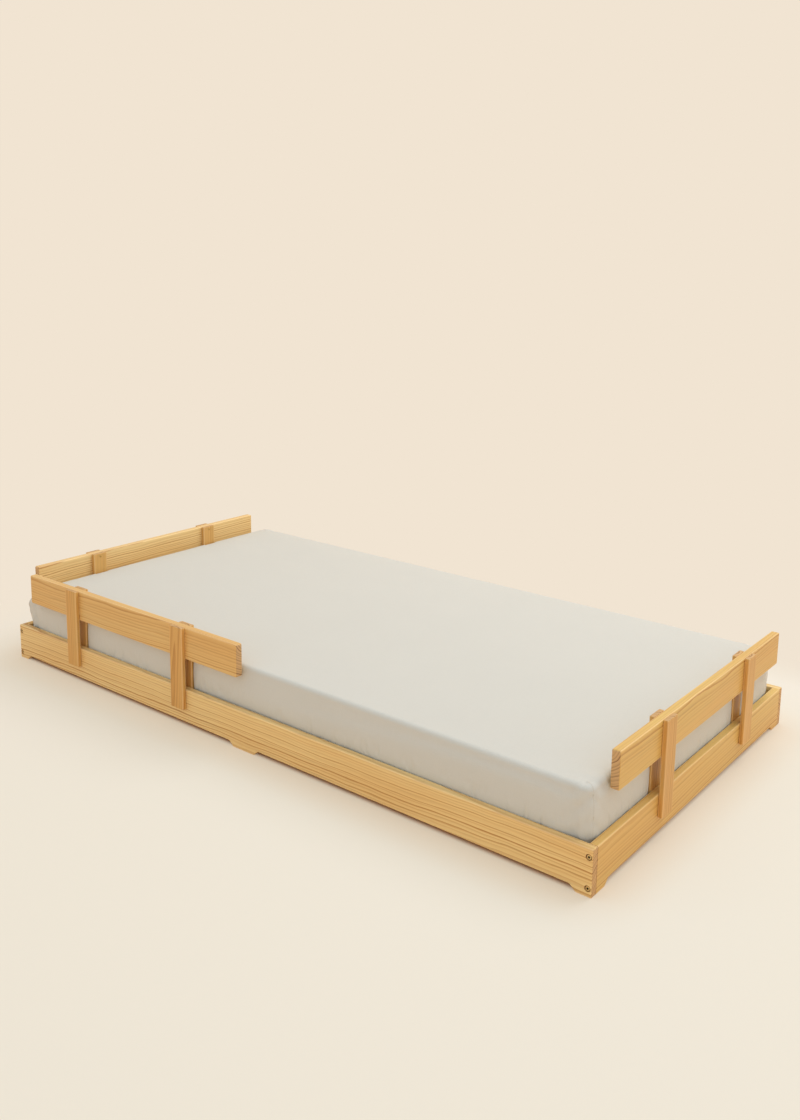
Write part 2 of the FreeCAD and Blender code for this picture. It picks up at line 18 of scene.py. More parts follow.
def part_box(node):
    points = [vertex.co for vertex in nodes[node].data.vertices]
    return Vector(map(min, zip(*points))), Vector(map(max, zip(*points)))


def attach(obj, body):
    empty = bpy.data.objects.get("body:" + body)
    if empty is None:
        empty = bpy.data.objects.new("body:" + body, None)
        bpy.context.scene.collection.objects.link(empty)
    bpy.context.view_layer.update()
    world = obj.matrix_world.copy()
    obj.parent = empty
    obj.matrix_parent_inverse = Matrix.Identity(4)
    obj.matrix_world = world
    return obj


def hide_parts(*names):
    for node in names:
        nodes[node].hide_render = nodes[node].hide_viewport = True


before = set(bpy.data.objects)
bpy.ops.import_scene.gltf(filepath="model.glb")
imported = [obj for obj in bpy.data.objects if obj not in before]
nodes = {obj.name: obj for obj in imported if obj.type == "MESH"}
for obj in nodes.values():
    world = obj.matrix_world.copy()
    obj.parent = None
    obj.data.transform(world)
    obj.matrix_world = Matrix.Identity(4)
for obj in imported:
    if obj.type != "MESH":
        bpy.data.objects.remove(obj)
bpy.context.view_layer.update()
MM = 0.001

# %% [markdown]
# ## The camera
#
# The photograph was taken from the right of the foot end, a little above a standing child's height. Its
# place, turn and focal length were solved from the bed's corners. Blender measures the lens against the
# sensor's long side, which is the upright side of this picture, so the focal length in pixels becomes
# millimetres through the picture's height. The vertical shift says that the picture is a crop of a taller
# one, with the lens's axis above its middle.

# %% Place the camera
PICTURE_HEIGHT = 1120
FOCAL_PIXELS = 1076.3
AXIS_ABOVE_MIDDLE = 110
SENSOR_MM = 36
CAMERA_PLACE = Vector((1.8526, -2.2346, 1.2319))
AZIMUTH, ELEVATION, ROLL = (math.radians(a) for a in (38.417, 10.493, 0.809))


def put(name, data):
    """A new object in the scene."""
    made = bpy.data.objects.new(name, data)
    bpy.context.scene.collection.objects.link(made)
    return made


lens = bpy.data.cameras.new("photo_camera")
lens.sensor_width = SENSOR_MM
lens.lens = FOCAL_PIXELS / PICTURE_HEIGHT * SENSOR_MM
lens.shift_y = -AXIS_ABOVE_MIDDLE / PICTURE_HEIGHT
camera = put("photo_camera", lens)
backwards = Vector((
    math.sin(AZIMUTH) * math.cos(ELEVATION),
    -math.cos(AZIMUTH) * math.cos(ELEVATION),
    math.sin(ELEVATION),
))
turn = backwards.to_track_quat("Z", "Y") @ Matrix.Rotation(ROLL, 3, "Z").to_quaternion()
camera.matrix_world = Matrix.LocRotScale(CAMERA_PLACE, turn, None)
bpy.context.scene.camera = camera
print("lens", round(lens.lens, 2), "mm, shift", round(lens.shift_y, 3))

# %% [markdown]
# ## Shader maths as Python
#
# A material is a graph of nodes, and long formulas are hard to read as a graph. A Wire stands for one
# socket, and adding or multiplying wires adds the Math nodes. Every other node comes from Tree.node, which
# takes the node's type, its settings, and the values or wires of its sockets. Geometry Nodes and the world
# use the same Tree, and a Finish is the Tree of a material.


# %% Wires and trees
class Wire:
    """A socket that takes part in Python's arithmetic."""

    def __init__(self, tree, socket):
        self.tree = tree
        self.socket = socket

    def math(self, operation, *others):
        sockets = dict(enumerate((self, *others)))
        return self.tree.node("ShaderNodeMath", {"operation": operation}, sockets)

    def __add__(self, other):
        return self.math("ADD", other)

    __radd__ = __add__

    def __sub__(self, other):
        return self.math("SUBTRACT", other)

    def __rsub__(self, other):
        return (self * -1) + other

    def __mul__(self, other):
        return self.math("MULTIPLY", other)

    __rmul__ = __mul__

    def __truediv__(self, other):
        return self.math("DIVIDE", other)

    def __pow__(self, other):
        return self.math("POWER", other)

    def __abs__(self):
        return self.math("ABSOLUTE")

    def smooth(self, low, high):
        """0 below low, 1 above high, and a smooth step between them."""
        settings = {"interpolation_type": "SMOOTHSTEP"}
        return self.tree.node("ShaderNodeMapRange", settings, {"Value": self, 1: low, 2: high})


class Tree:
    """A node tree while its nodes are laid."""

    def __init__(self, graph):
        self.graph = graph

    def node(self, kind, settings=None, sockets=None, output=0):
        """Adds a node, its settings first, and gives one of its outputs."""
        made = self.graph.nodes.new(kind)
        for key, value in (settings or {}).items():
            setattr(made, key, value)
        for key, value in (sockets or {}).items():
            if isinstance(value, Wire):
                self.graph.links.new(value.socket, made.inputs[key])
            else:
                made.inputs[key].default_value = value
        return Wire(self, made.outputs[output]) if made.outputs else None


# %% Finishes
class Finish(Tree):
    """A material's tree, with the steps that the finishes share."""

    def __init__(self, name):
        self.material = bpy.data.materials.new(name)
        self.material.use_nodes = True
        super().__init__(self.material.node_tree)
        self.graph.nodes.clear()

    def place(self):
        """Where a point lies in the piece, in metres."""
        return self.node("ShaderNodeTexCoord", output="Object")

    def parts(self, vector):
        """The x, y and z of a vector."""
        split = self.node("ShaderNodeSeparateXYZ", None, {0: vector})
        return [Wire(self, output) for output in split.socket.node.outputs]

    def join(self, x, y, z):
        return self.node("ShaderNodeCombineXYZ", None, {0: x, 1: y, 2: z})

    def noise(self, vector, scale=1, detail=2, roughness=0.5):
        sockets = {"Vector": vector, "Scale": scale, "Detail": detail, "Roughness": roughness}
        return self.node("ShaderNodeTexNoise", None, sockets)

    def noise_along(self, value, scale, detail):
        """Noise along a line."""
        sockets = {"W": value, "Scale": scale, "Detail": detail}
        return self.node("ShaderNodeTexNoise", {"noise_dimensions": "1D"}, sockets)

    def mix(self, factor, first, second):
        """Between two colours, each a wire or three sRGB numbers."""
        first, second = (c if isinstance(c, Wire) else linear(c) for c in (first, second))
        return self.node("ShaderNodeMix", {"data_type": "RGBA"}, {0: factor, 6: first, 7: second}, 2)

    def shade(self, colour, amount):
        """A colour made lighter or darker by a factor."""
        grey = self.join(amount, amount, amount)
        return self.node("ShaderNodeVectorMath", {"operation": "MULTIPLY"}, {0: colour, 1: grey})

    def done(self, sockets, bump):
        """Ends the material in a Principled BSDF, with a bump in millimetres."""
        raised = self.node("ShaderNodeBump", None, {"Height": bump, "Distance": MM, "Strength": 1.0})
        shader = self.node("ShaderNodeBsdfPrincipled", None, {**sockets, "Normal": raised})
        self.node("ShaderNodeOutputMaterial", None, {"Surface": shader})
        return self.material


def linear(srgb):
    """The scene's own colour numbers for an sRGB colour written from 0 to 255."""
    return (*((c / 255 / 12.92 if c < 10.3 else ((c / 255 + 0.055) / 1.055) ** 2.4) for c in srgb), 1)


# %% [markdown]
# ## Pine
#
# A board is a slice of a trunk, so its pattern is made in depth and not painted on: rings round a pith
# that lies beside the board. Where the board's face cuts the rings at a low angle they spread into wide
# arches, and on its sawn ends the same formula shows them as arcs. Each ring is pale early wood that
# darkens to a narrow band of late wood and ends sharply. The pith leans and wanders along the board, and
# the ring widths vary, so no two boards look the same.

# %% The wood of one board
AXES = "xyz"
SWAY, SWING, RIPPLE = 14 * MM, 8 * MM, 4 * MM
STRAW = (242, 216, 154)
BUTTER = (238, 206, 144)
HONEY = (227, 193, 128)
GOLD = (222, 189, 112)
AMBER = (214, 171, 99)
RED = (222, 172, 100)
LATE = (184, 128, 62)
END_EARLY = (210, 172, 122)
END_LATE = (134, 92, 55)
# The pale colour below is a painted highlight for the boards' rounded edges, where light catches them.
HIGHLIGHT_TONE = (240, 214, 170)


def dress(node, material):
    """Puts a material on a CAD node."""
    for spot in nodes[node].material_slots:
        spot.material = material


def pine(node, grain, across, pith, lean, ring, contrast=0.6, tint=0.5, early=HONEY, wave=1, lines=None):
    """Gives a CAD node its pine. grain and across name the axes along its fibres and over its wide face.
    pith is how far the tree's middle lies from the board's, across its face and through it, in metres, and
    lean is how much it drifts along the board. ring is a year's growth. contrast and tint are how strong
    the dark bands and the reddish patches are, and wave how much the rings ripple. lines are two places
    over the face: the rings are faint before the first and clear after the second."""
    low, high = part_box(node)
    through = next(axis for axis in AXES if axis not in (grain, across))
    finish = Finish(f"pine_{node}")
    seed = sum(ord(letter) * (i + 3) for i, letter in enumerate(node)) % 97
    spot = dict(zip(AXES, finish.parts(finish.place())))
    facing = dict(zip(AXES, finish.parts(finish.node("ShaderNodeNewGeometry", output="Normal"))))
    middle = {axis: (low[i] + high[i]) / 2 for i, axis in enumerate(AXES)}
    half = {axis: (high[i] - low[i]) / 2 for i, axis in enumerate(AXES)}
    along, over, deep = (spot[axis] - middle[axis] for axis in (grain, across, through))

    sway = finish.noise_along(along + seed, 1.3, 2) - 0.5
    swing = finish.noise_along(along + seed * 2, 2.1, 2) - 0.5
    u = over - pith[0] - along * lean + sway * SWAY
    v = deep - pith[1] + swing * SWING
    ripple = finish.noise(finish.join(along * 7 + seed, over * 30, deep * 30)) - 0.5
    radius = (u * u + v * v) ** 0.5 + ripple * (wave * RIPPLE)
    rings = radius / ring
    rings = rings + (finish.noise_along(rings, 0.43, 1) - 0.5) * 1.5
    within = rings.math("FRACT")
    late = within.smooth(0.3, 0.9) * (1 - within.smooth(0.93, 1.0))
    strong = finish.node("ShaderNodeTexWhiteNoise", {"noise_dimensions": "1D"}, {"W": rings.math("FLOOR")})
    late = late * (strong * strong * 0.75 + 0.25)
    clear = over.smooth(*lines) * 0.6 + 0.4 if lines else 1

    fibre = finish.noise(finish.join(along * 18 + seed, over * 700, deep * 700), 1, 3, 0.6) - 0.5
    grain_line = finish.noise(finish.join(along * 2.2 + seed, over * 210, deep * 210)).smooth(0.5, 0.72)
    broad = finish.noise(finish.join(along * 1.6 + seed, over * 9, deep * 9))
    streak = finish.noise(finish.join(along * 30, over * 950 + seed, deep * 950), 1, 1).smooth(0.68, 0.8)
    sawn = abs(facing[grain]).smooth(0.55, 0.85)
    rim = (half[across] - abs(over)).math("MAXIMUM", half[through] - abs(deep))
    # The rounded edges are painted paler and lifted in brightness below: a painted highlight where light
    # catches them.
    edge_highlight = 1 - rim.smooth(0.5 * MM, 4 * MM)

    face = finish.mix(late * clear * contrast, finish.mix(broad.smooth(0.3, 0.7) * tint, early, RED), LATE)
    end = finish.mix(late, END_EARLY, END_LATE)
    colour = finish.mix(sawn, finish.mix(edge_highlight * 0.35, face, HIGHLIGHT_TONE), end)
    shade = 1.02 + fibre * 0.16 - streak * 0.1 - grain_line * 0.1 * (1 - sawn) + edge_highlight * 0.1 * (1 - sawn)
    colour = finish.shade(colour, shade)
    rough = 0.4 + late * 0.1 + fibre * 0.15 + sawn * 0.25
    sockets = {"Base Color": colour, "Roughness": rough, "Specular IOR Level": 0.4}
    dress(node, finish.done(sockets, late * 0.06 + fibre * 0.12 - streak * 0.08))


# %% [markdown]
# The rails are rift-sawn, with the pith well below and behind the face, so that clear lines run along
# them. The guard boards are flat-sawn, calm at the front and the foot and clearer at the head. The uprights'
# grain is vertical.

# %% Wood on every board
SIDE_GRAIN = {"front": ("x", -1), "back": ("x", 1), "head": ("y", -1), "foot": ("y", 1)}
for side, (grain, outward) in SIDE_GRAIN.items():
    if grain == "x":
        pith = (-0.085, -0.05 * outward)
        pine(f"{side}_side_rail", grain, "z", pith, 0.012, 6 * MM, 1.05, 0.4, STRAW, 2.2)
    else:
        pith = (0.06, -0.03 * outward)
        pine(f"{side}_rail", grain, "z", pith, 0.016, 7 * MM, 1.05, 0.4, GOLD, 1.4, (0.02, -0.02))
    pine(f"{side}_cleat", grain, "z", (0.03, -0.05), 0.02, 5 * MM)

slats = sorted(name for name in nodes if name.startswith("slat_") and name != "slat_screws")
for number, name in enumerate(slats, 1):
    pith = (0.02 * math.sin(number * 2.4), -0.03 - 0.02 * (number % 3))
    pine(name, "y", "x", pith, 0.015, 5 * MM)

GUARDS = {"front": (HONEY, 0.8, None), "head": (BUTTER, 1.1, None), "foot": (GOLD, 0.8, (-0.005, 0.015))}
for side, (early, contrast, lines) in GUARDS.items():
    grain, outward = SIDE_GRAIN[side]
    pith = (0.055, -0.03 * outward)
    pine(f"{side}_guard_board", grain, "z", pith, 0.012, 6.5 * MM, contrast, 0.5, early, 2, lines)
    for row in ("outer", "inner"):
        for which, offset, lean in (("a", 0.04, 0.02), ("b", -0.008, 0.09)):
            upright = f"{side}_guard_{row}_upright_{which}"
            pine(upright, "z", grain, (offset, -0.025), lean, 7 * MM, 0.8, 0.8, AMBER, 0.7)
print("pine on", sum(m.name.startswith("pine_") for m in bpy.data.materials), "boards")

# %% [markdown]
# ## Metal
#
# The bolts and screws are plated in a dull yellow brass, and the barrel nuts in zinc. Metal gets its look
# from what it reflects, so its colour stays plain, and fine noise in its roughness breaks the highlights.
# A painted shade darkens a socket towards its bottom, where little light reaches, which each piece marks in
# an attribute of its own.


# %% Plated metal
# Painted shade: the dark colour that sockets and crosses are mixed towards at their bottom.
RECESS_SHADE = (44, 34, 24)


def plated(name, colour, dull, roughness):
    finish = Finish(name)
    place = finish.place()
    cloud = finish.noise(place, 900, 3)
    scratch = finish.noise(place, 4000, 2)
    deep = finish.node("ShaderNodeAttribute", {"attribute_name": "recess"}, output="Fac")
    tone = finish.mix(cloud.smooth(0.35, 0.75), colour, dull)
    # The recess is painted darker towards its bottom: painted shade.
    tone = finish.mix(deep, tone, RECESS_SHADE)
    rough = roughness + (scratch - 0.5) * 0.25 + deep * 0.3
    sockets = {"Base Color": tone, "Metallic": 1.0, "Roughness": rough}
    return finish.done(sockets, scratch * 0.02)


bright_brass = plated("bright_brass_plate", (238, 206, 146), (206, 168, 104), 0.3)
screw_brass = plated("yellow_brass_plate", (232, 194, 120), (190, 146, 78), 0.3)
zinc = plated("zinc_plate", (196, 196, 190), (160, 160, 156), 0.4)
dress("barrel_nuts", zinc)

# %% [markdown]
# ## Screws and bolts
#
# One screw is turned like a lathe piece from its profile, with a thread that winds as it rises, and a
# cross is cut into its head. Its many copies are a job for Geometry Nodes: the tree puts one copy on each
# point, aims it along the point's own direction, and turns it by a random angle, as screws end up. Where
# they go comes from the frame: each separate solid of a fastener node gives one place and one direction.


# %% Turned pieces
def points_of(mesh, what="co"):
    """The places of a mesh's points, or their normals."""
    flat = np.empty(len(mesh.vertices) * 3, np.float32)
    mesh.vertices.foreach_get(what, flat)
    return flat.reshape(-1, 3).astype(float)


def put_shape(name, shape):
    """A new object from a bmesh."""
    mesh = bpy.data.meshes.new(name)
    shape.to_mesh(mesh)
    shape.free()
    return put(name, mesh)


def turned(name, rows, sides):
    """A closed turned piece along z. Each row is (height, radius or a function of the angle)."""
    shape = bmesh.new()
    loops = []
    for height, radius in rows:
        loop = []
        for i in range(sides):
            angle = math.tau * i / sides
            reach = radius(angle) if callable(radius) else radius
            loop.append(shape.verts.new((reach * math.cos(angle), reach * math.sin(angle), height)))
        loops.append(loop)
    for below, above in zip(loops, loops[1:]):
        for i in range(sides):
            j = (i + 1) % sides
            shape.faces.new((below[i], below[j], above[j], above[i]))
    shape.faces.new(loops[0][::-1])
    shape.faces.new(loops[-1])
    bmesh.ops.recalc_face_normals(shape, faces=shape.faces)
    return put_shape(name, shape)


def thread_rows(start, end, radius, depth, pitch):
    """Rows of a thread: the ridge climbs by one pitch in a turn."""
    steps = int((end - start) / pitch * 4)

    def row(height):
        def reach(angle):
            phase = (height / pitch - angle / math.tau) % 1
            return radius - depth * abs(2 * phase - 1)

        return height, reach

    return [row(start + (end - start) * i / steps) for i in range(steps + 1)]


def made_by_modifiers(piece):
    """The plain mesh that a piece's modifiers make of it."""
    evaluated = piece.evaluated_get(bpy.context.evaluated_depsgraph_get())
    return bpy.data.meshes.new_from_object(evaluated)


def cut_out(piece, tool):
    """Cuts the tool's shape out of a piece, and removes the tool."""
    cutter = piece.modifiers.new("cut", "BOOLEAN")
    cutter.object = tool
    cutter.solver = "EXACT"
    piece.data = made_by_modifiers(piece)
    piece.modifiers.clear()
    bpy.data.objects.remove(tool)


def mark_recess(piece, reach, depth, darkest):
    """Marks how much painted shade each point gets in the recess of a head that faces down z, up to darkest
    at its end.
    """
    points = points_of(piece.data)
    inside = np.hypot(points[:, 0], points[:, 1]) < reach
    inside &= points[:, 2] < depth * 1.05
    values = np.where(inside, np.clip(points[:, 2] / depth, 0, 1) * darkest, 0).astype(np.float32)
    piece.data.attributes.new("recess", "FLOAT", "POINT").data.foreach_set("value", values)


def cross_tool(reach, width, depth):
    """A cross that narrows as it goes down into a screw's head."""

    def arm(angle):
        across, along = sorted((abs(math.cos(angle)), abs(math.sin(angle))))
        return min(reach, width / max(across, width / reach))

    rows = [(-0.2 * MM, arm), (depth * 0.5, lambda a: arm(a) * 0.8), (depth, lambda a: arm(a) * 0.35)]
    return turned("cross", rows, 48)


def wood_screw(length, head=4 * MM, shank=2 * MM, rim=0.3 * MM):
    """A countersunk screw: its head's face at z = 0, and its tip at z = length."""
    neck = rim + head - shank
    rows = [(0, head - 0.15 * MM), (0.12 * MM, head), (rim, head), (neck, shank * 0.85)]
    rows += [(length * 0.35, shank * 0.85)]
    rows += thread_rows(length * 0.36, length - 2.4 * shank, shank, 0.5 * MM, 1.8 * MM)
    rows += [(length - 0.3 * MM, 0.25 * MM)]
    screw = turned("screw", rows, 16)
    cut_out(screw, cross_tool(2.5 * MM, 0.55 * MM, 2 * MM))
    mark_recess(screw, 2.7 * MM, 2 * MM, 0.3)
    return screw


def cap_bolt(length, head=5 * MM, head_height=6 * MM, shank=3 * MM):
    """A socket cap bolt: its head's face at z = 0, knurled round its side, with a six-sided socket."""

    def knurl(angle):
        return head - 0.12 * MM * (1 + math.cos(angle * 18))

    rows = [(0, head - 0.8 * MM), (0.25 * MM, head - 0.35 * MM), (0.8 * MM, knurl)]
    rows += [(head_height - 0.4 * MM, knurl), (head_height, head - 0.5 * MM), (head_height, shank)]
    rows += thread_rows(head_height + 0.2 * MM, head_height + length - MM, shank, 0.45 * MM, MM)
    rows += [(head_height + length, shank - 0.8 * MM)]
    bolt = turned("bolt", rows, 36)
    socket = 2.5 * MM / math.cos(math.pi / 6)
    depth = 3.6 * MM
    cut_out(bolt, turned("socket", [(-0.2 * MM, socket), (depth, socket)], 6))
    mark_recess(bolt, 3.2 * MM, depth, 0.8)
    return bolt


# %% [markdown]
# The tree for the copies. Its inputs are the piece that is repeated, the range and the seed of the random
# turn, and the finish.


# %% The tree that sets a fastener on each point
def new_tree(name, inputs):
    """A Geometry Nodes tree with a geometry input and output and named inputs, and those inputs as wires."""
    graph = bpy.data.node_groups.new(name, "GeometryNodeTree")
    inputs = {"Geometry": "Geometry", **inputs}
    graph.interface.new_socket("Geometry", in_out="OUTPUT", socket_type="NodeSocketGeometry")
    for label, kind in inputs.items():
        graph.interface.new_socket(label, in_out="INPUT", socket_type=f"NodeSocket{kind}")
    tree = Tree(graph)
    start = graph.nodes.new("NodeGroupInput")
    return tree, {label: Wire(tree, start.outputs[label]) for label in inputs}


def end_tree(tree, geometry, finish):
    """Turns the copies into plain mesh with a material, and ends the tree."""
    real = tree.node("GeometryNodeRealizeInstances", None, {0: geometry})
    painted = tree.node("GeometryNodeSetMaterial", None, {"Geometry": real, "Material": finish})
    tree.node("NodeGroupOutput", None, {0: painted})
    return tree.graph


def fastener_tree():
    inputs = {"Piece": "Object", "Turn": "Float", "Seed": "Int", "Finish": "Material"}
    tree, given = new_tree("fasteners", inputs)
    piece = tree.node("GeometryNodeObjectInfo", None, {"Object": given["Piece"]}, "Geometry")
    aim = tree.node("GeometryNodeInputNamedAttribute", {"data_type": "FLOAT_VECTOR"}, {"Name": "aim"})
    aimed = tree.node("FunctionNodeAlignRotationToVector", {"axis": "Z"}, {"Vector": aim})
    chance_inputs = {"Seed": given["Seed"], 3: given["Turn"]}
    chance = tree.node("FunctionNodeRandomValue", {"data_type": "FLOAT"}, chance_inputs, 1)
    spin = tree.node("FunctionNodeAxisAngleToRotation", None, {"Angle": chance})
    aim_and_spin = tree.node("FunctionNodeRotateRotation", {"rotation_space": "LOCAL"}, {0: aimed, 1: spin})
    copy_inputs = {"Points": given["Geometry"], "Instance": piece, "Rotation": aim_and_spin}
    copies = tree.node("GeometryNodeInstanceOnPoints", None, copy_inputs)
    return end_tree(tree, copies, given["Finish"])


def settle(obj, graph, values):
    """Runs a tree on an object with these values, and keeps the result as its plain mesh."""
    modifier = obj.modifiers.new(graph.name, "NODES")
    modifier.node_group = graph
    for item in graph.interface.items_tree:
        if item.in_out == "INPUT" and item.name in values:
            modifier[item.identifier] = values[item.name]
    made = put(obj.name + "_made", made_by_modifiers(obj))
    bpy.data.objects.remove(obj)
    return made


# %% Where the frame has its fasteners
def solids_of(node):
    """The points of each separate solid in a CAD node, as arrays."""
    shape = bmesh.new()
    shape.from_mesh(nodes[node].data)
    bmesh.ops.remove_doubles(shape, verts=shape.verts, dist=0.01 * MM)
    shape.verts.ensure_lookup_table()
    found, seen = [], set()
    for first in shape.verts:
        if first.index in seen:
            continue
        seen.add(first.index)
        todo, group = [first], []
        while todo:
            here = todo.pop()
            group.append(list(here.co))
            for edge in here.link_edges:
                there = edge.other_vert(here)
                if there.index not in seen:
                    seen.add(there.index)
                    todo.append(there)
        found.append(np.array(group))
    shape.free()
    return found


def head_and_aim(points):
    """The middle of a fastener's head face, and the direction of its tip."""
    low, high = points.min(0), points.max(0)
    axis = int((high - low).argmax())
    middle = (low + high) / 2
    near_low = points[points[:, axis] < low[axis] + 0.5 * MM]
    near_high = points[points[:, axis] > high[axis] - 0.5 * MM]
    others = [i for i in range(3) if i != axis]
    head_low = np.ptp(near_low[:, others], axis=0).max() > np.ptp(near_high[:, others], axis=0).max()
    aim = np.zeros(3)
    aim[axis] = 1 if head_low else -1
    middle[axis] = low[axis] if head_low else high[axis]
    return middle, aim


def set_fasteners(label, node, pattern, body, finish, seed):
    """One piece with a copy of the pattern for each fastener of a CAD node, which it replaces."""
    places = [head_and_aim(points) for points in solids_of(node)]
    middles, aims = zip(*places)
    mesh = bpy.data.meshes.new(label)
    mesh.from_pydata([tuple(middle) for middle in middles], [], [])
    mesh.attributes.new("aim", "FLOAT_VECTOR", "POINT").data.foreach_set("vector", np.array(aims).ravel())
    values = {"Piece": pattern, "Turn": math.tau, "Seed": seed, "Finish": finish}
    made = settle(put(label + "_points", mesh), fasteners, values)
    bpy.data.objects.remove(pattern)
    made.name = label
    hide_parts(node)
    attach(made, body)
    print(f"{label}: {len(places)} copies, {len(made.data.polygons)} faces")


fasteners = fastener_tree()
set_fasteners("bolt_set", "corner_bolts", cap_bolt(50 * MM), "root", bright_brass, 3)
screws = [("cleat_screws", 50, "root", 5), ("slat_screws", 30, "root", 7)]
screws += [(f"{side}_guard_screws", 40, f"{side}_guard", seed) for seed, side in enumerate(GUARDS, 11)]
for node, length, body, seed in screws:
    pattern = wood_screw(length * MM)
    set_fasteners(f"{node}_set", node, pattern, body, screw_brass, seed)

# %% [markdown]
# ## The mattress and its fitted sheet
#
# Both follow one surface: a foam block with round corners and a soft rim, which the guards' inner uprights
# press into. The surface is laid as loops that step from the side wall over the rim onto the top, and a
# grid fills the middle. That keeps its lines along the cloth, so that the weave can follow them through
# the piece's own UV map, in metres.

# %% The soft block's sizes, from the frame
CORNER = 26 * MM
RIM = 14 * MM
EDGE_STEP, END_STEP, WIDE_STEP = 1.3 * MM, 6 * MM, 16 * MM
CLEAR = 0.9 * MM
HEM = 90 * MM
SHEET_WRAP = 1.4 * MM
sheet_low, sheet_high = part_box("fitted_sheet")
LOW = sheet_low + Vector((SHEET_WRAP,) * 3)
HIGH = sheet_high - Vector((SHEET_WRAP,) * 3)
MIDDLE = (LOW + HIGH) / 2
HALF = (HIGH - LOW) / 2
uprights = [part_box(name) for name in sorted(nodes) if "inner_upright" in name]
print("soft block", [round(2 * size, 4) for size in HALF], "uprights", len(uprights))


def graded(half, edges):
    """Places from -half to half, closer at both ends and near the edges, with a place on each edge."""
    places, here = [], -half
    while here < half:
        places.append(here)
        beside = min(abs(here - edge) for edge in edges)
        here += min(END_STEP + (half - abs(here)) * 0.2, EDGE_STEP + beside * 0.3, WIDE_STEP)
    if half - places[-1] < END_STEP / 2:
        places.pop()
    for edge in edges:
        nearest = min(range(len(places)), key=lambda i: abs(places[i] - edge))
        places[nearest] = edge
    return sorted(set(places)) + [half]


def dent_edges(axis):
    """Where the dents of the uprights start and end along an axis, from the block's middle."""
    other = 1 - axis
    faced = [(low, high) for low, high in uprights if high[axis] - low[axis] > high[other] - low[other]]
    ends = [low[axis] - CLEAR for low, high in faced] + [high[axis] + CLEAR for low, high in faced]
    return sorted({round(end - MIDDLE[axis], 5) for end in ends})


xs = graded(HALF.x - CORNER, dent_edges(0))
ys = graded(HALF.y - CORNER, dent_edges(1))
print(len(xs), "by", len(ys), "lines in the top")

# %% [markdown]
# The loops run round the block. Each corner is a fan of points on an arc, which shrinks to the grid's own
# corner where the loop reaches the inner rectangle. Every point also knows its place in the flat cloth.

# %% Lay the block's surface
ARC_STEPS, RIM_STEPS, WALL_STEPS = 8, 6, 16
SEAM_STEP = 100
SEAM_PLACES = (4, 4, 3, 6)
CORNER_SIGNS = ((1, 1), (-1, 1), (-1, -1), (1, -1))


def loop_points(inset, height, run):
    """One loop at an inset from the side walls: (place, flat place) pairs, counter-clockwise."""
    points = []
    core_x, core_y = HALF.x - CORNER, HALF.y - CORNER
    reach = CORNER - inset
    edges = ([(x, core_y) for x in reversed(xs)], [(-core_x, y) for y in reversed(ys)])
    edges += ([(x, -core_y) for x in xs], [(core_x, y) for y in ys])
    outward = ((0, 1), (-1, 0), (0, -1), (1, 0))
    for side, (sign_x, sign_y) in enumerate(CORNER_SIGNS):
        for step in range(ARC_STEPS):
            angle = math.pi / 2 * side + math.pi / 2 * step / ARC_STEPS
            points.append(((sign_x * core_x, sign_y * core_y), (math.cos(angle), math.sin(angle))))
        points += [(spot, outward[side]) for spot in edges[side][:-1]]
    return [
        (
            Vector((x + reach * way[0], y + reach * way[1], height)),
            (x + (reach + run) * way[0], y + (reach + run) * way[1]),
        )
        for (x, y), way in points
    ]


def rows_down():
    """(inset, height, extra run of cloth) from the top's edge to the bottom's, past the rim and the wall."""
    top, bottom = HALF.z, -HALF.z
    between = np.linspace(CORNER, RIM, 3)[1:]
    bend = [math.pi / 2 * i / RIM_STEPS for i in range(1, RIM_STEPS + 1)]
    rows = [(inset, top, 0) for inset in between]
    for angle in bend:
        inset = RIM * (1 - math.sin(angle))
        rows.append((inset, top - RIM * (1 - math.cos(angle)), RIM * angle - (RIM - inset)))
    wall = 2 * (HALF.z - RIM)
    run = RIM * (math.pi / 2 - 1)
    for i in range(1, WALL_STEPS + 1):
        rows.append((0, top - RIM - wall * i / WALL_STEPS, run + wall * i / WALL_STEPS))
    run += wall
    for angle in bend:
        inset = RIM * (1 - math.cos(angle))
        rows.append((inset, bottom + RIM * (1 - math.sin(angle)), run + RIM * angle + inset))
    run += RIM * (math.pi / 2 + 1)
    return rows + [(inset, bottom, run + 2 * (inset - RIM)) for inset in between[-2::-1]]


